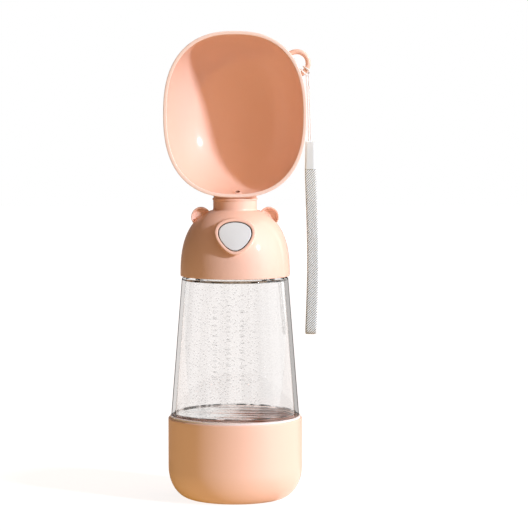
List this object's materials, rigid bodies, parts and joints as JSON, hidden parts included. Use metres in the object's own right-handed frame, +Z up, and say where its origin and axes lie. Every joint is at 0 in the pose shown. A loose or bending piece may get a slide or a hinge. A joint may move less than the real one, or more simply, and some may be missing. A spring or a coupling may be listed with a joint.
{
  "type": "dog travel water bottle",
  "caption": "Clear screw-top drinking bottle for dogs, with a food cup as its foot, an eared cap with a push valve, an upright oval drinking bowl and a wrist lanyard.",
  "frame": {"origin": "middle of the food cup's foot, on the surface it stands on", "axes": "+Z up along the bottle, -Y towards the front, where the bowl opens and the button is, +X towards the lanyard"},
  "size_m": [0.0817, 0.0714, 0.2488],
  "materials": {
    "peach_plastic": "smooth satin moulding",
    "clear_plastic": "clear and polished",
    "white_plastic": "smooth",
    "grey_plastic": "smooth",
    "silicone": "soft and matte",
    "grey_silicone": "soft and matte",
    "black_rubber": "matte",
    "spring_steel": "bright drawn wire",
    "white_cord": "braided",
    "strap_webbing": "woven with a diagonal grain"
  },
  "bodies": {
    "cup": {"food_cup": "peach_plastic"},
    "cup_seal": {"cup_seal": "silicone"},
    "bottle": {"bottle": "clear_plastic"},
    "mouth_seal": {"mouth_seal": "silicone"},
    "cap": {"cap_dome": "peach_plastic", "cap_liner": "white_plastic", "left_ear": "peach_plastic", "right_ear": "peach_plastic", "button_bezel": "peach_plastic", "return_spring": "spring_steel", "valve_barrel": "white_plastic", "barrel_cap": "white_plastic", "stem_seal": "black_rubber", "inlet_washer": "silicone", "outlet_sleeve": "silicone", "neck_collar": "peach_plastic", "bowl_stem": "peach_plastic", "bowl": "peach_plastic", "bowl_nozzle": "peach_plastic", "lanyard_loop": "peach_plastic", "hitch_cord": "white_cord", "cord_crimp": "grey_plastic", "wrist_strap": "strap_webbing"},
    "button": {"button": "grey_plastic", "valve_stem": "white_plastic", "valve_plug": "grey_silicone"}
  },
  "joints": [
    {"name": "bottle_rise", "type": "slide", "parent": "cup", "child": "cup_seal", "axis": [0, 0, 1], "range_m": [0, 0.012]},
    {"name": "bottle_turn", "type": "hinge", "parent": "cup_seal", "child": "bottle", "pos_m": [0, 0, 0.0444], "axis": [0, 0, 1], "range_deg": [0, 1080]},
    {"name": "cap_rise", "type": "slide", "parent": "bottle", "child": "mouth_seal", "axis": [0, 0, 1], "range_m": [0, 0.012]},
    {"name": "cap_turn", "type": "hinge", "parent": "mouth_seal", "child": "cap", "pos_m": [0, 0, 0.1192], "axis": [0, 0, 1], "range_deg": [0, 1080]},
    {"name": "button_press", "type": "slide", "parent": "cap", "child": "button", "axis": [0, 1, 0], "range_m": [0, 0.0025], "stiffness_N_per_m": 400, "springref_m": -0.002, "deforming": ["return_spring"]}
  ],
  "couplings": [
    {"joint": "bottle_rise", "follows": "bottle_turn", "m_per_rad": 0.00063662},
    {"joint": "cap_rise", "follows": "cap_turn", "m_per_rad": 0.00063662}
  ]
}
